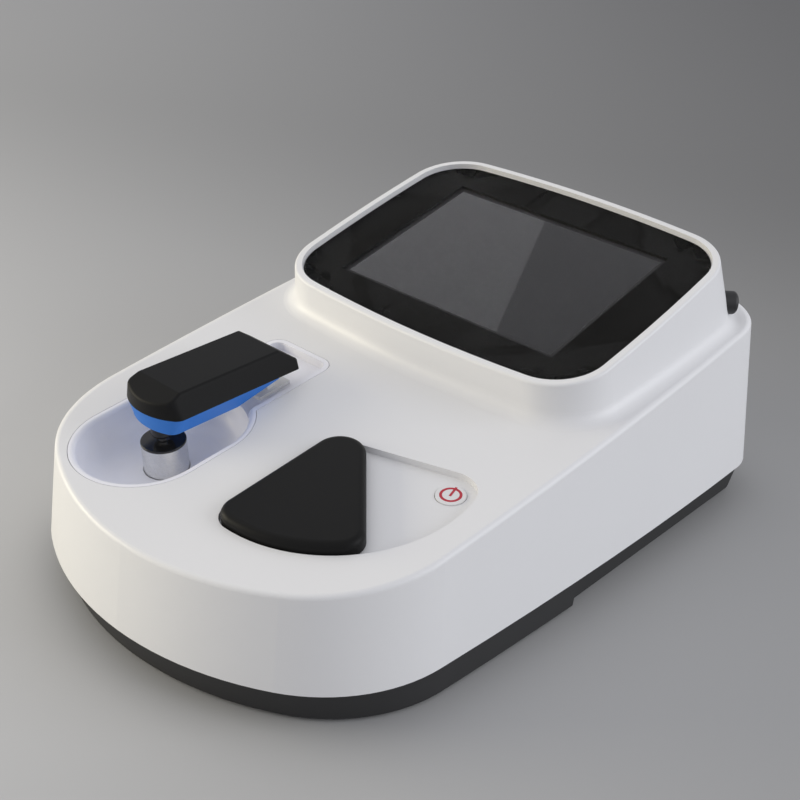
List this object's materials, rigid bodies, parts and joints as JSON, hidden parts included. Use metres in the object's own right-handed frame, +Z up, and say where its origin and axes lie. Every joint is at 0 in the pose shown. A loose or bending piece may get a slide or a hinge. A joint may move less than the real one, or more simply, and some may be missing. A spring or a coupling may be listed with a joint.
{
  "type": "microvolume spectrophotometer",
  "caption": "Low bench spectrophotometer with a sloping touch display, a hinged measuring arm over a small pedestal in a dished well, and a swinging lid over a cuvette port.",
  "frame": {"origin": "centre of the bounding box's underside, on the plane the feet stand on", "axes": "+X to the user's right, +Y from the rounded nose to the rear connector side, +Z up"},
  "size_m": [0.208, 0.322, 0.1281],
  "materials": {
    "white_housing": "fine satin moulded plastic",
    "dark_base": "fine matt moulded plastic",
    "black_gloss": "polished black plastic",
    "dark_lid": "satin moulded plastic",
    "blue_trim": "satin moulded plastic",
    "steel": "turned stainless steel",
    "alloy": "machined aluminium alloy",
    "display_glass": "clear cover glass with a black border",
    "lcd": "switched-off display",
    "pale_plastic": "white plastic",
    "board": "green circuit board",
    "black_plastic": "satin black plastic",
    "rubber": "matt rubber",
    "fixing": "plated fixing"
  },
  "bodies": {
    "housing": {"upper_housing": "white_housing", "recess_floor": "white_housing", "well_tray": "white_housing", "base_housing": "dark_base", "pedestal_sleeve": "steel", "hinge_pin": "steel", "hinge_bracket": "alloy", "optics_plate": "alloy", "spectrometer": "alloy", "lamp_housing": "alloy", "cuvette_well": "alloy", "display_glass": "display_glass", "lcd_module": "lcd", "ferrule_guide": "pale_plastic", "lid_glide": "pale_plastic", "display_board": "board", "main_board": "board", "power_board": "board", "detector_board": "board", "pedestal_cap": "black_plastic", "power_switch": "black_plastic", "display_carrier": "black_plastic", "display_gasket": "black_plastic", "rear_panel": "black_plastic", "dc_inlet": "black_plastic", "rocker_frame": "black_plastic", "rear_stub": "black_plastic", "foot_0": "rubber", "foot_1": "rubber", "foot_2": "rubber", "foot_3": "rubber", "base_screw_0": "fixing", "base_screw_1": "fixing", "base_screw_2": "fixing", "base_screw_3": "fixing", "base_screw_4": "fixing", "base_screw_5": "fixing", "usb_port_0": "fixing", "usb_port_1": "fixing", "lan_port": "fixing", "dc_pin": "fixing"},
    "arm": {"arm_cover": "dark_lid", "arm_pan": "blue_trim", "arm_frame": "alloy", "upper_neck": "black_gloss", "upper_ferrule": "steel", "pan_screw_0": "fixing", "pan_screw_1": "fixing"},
    "lid": {"cuvette_lid": "dark_lid", "lid_pin": "steel", "lid_retainer": "black_plastic"},
    "button": {"power_button": "white_housing"},
    "ferrule": {"lower_ferrule": "steel"},
    "switch_rocker": {"rocker": "black_plastic"}
  },
  "joints": [
    {"name": "arm_hinge", "type": "hinge", "parent": "housing", "child": "arm", "pos_m": [-0.043, -0.04797, 0.0776], "axis": [-1, 0, 0], "range_deg": [0, 74]},
    {"name": "lid_swing", "type": "hinge", "parent": "housing", "child": "lid", "pos_m": [0.0245, -0.069, 0.06725], "axis": [0, -0.131, 0.9914], "range_deg": [0, 41]},
    {"name": "button_press", "type": "slide", "parent": "housing", "child": "button", "axis": [0, 0.131, -0.9914], "range_m": [0, 0.0008], "stiffness_N_per_m": 800},
    {"name": "path_length", "type": "slide", "parent": "housing", "child": "ferrule", "axis": [0, -0.131, 0.9914], "range_m": [-0.001, 0]},
    {"name": "rocker_tilt", "type": "hinge", "parent": "housing", "child": "switch_rocker", "pos_m": [0.046, 0.1445, 0.042], "axis": [1, 0, 0], "range_deg": [0, 16]}
  ]
}
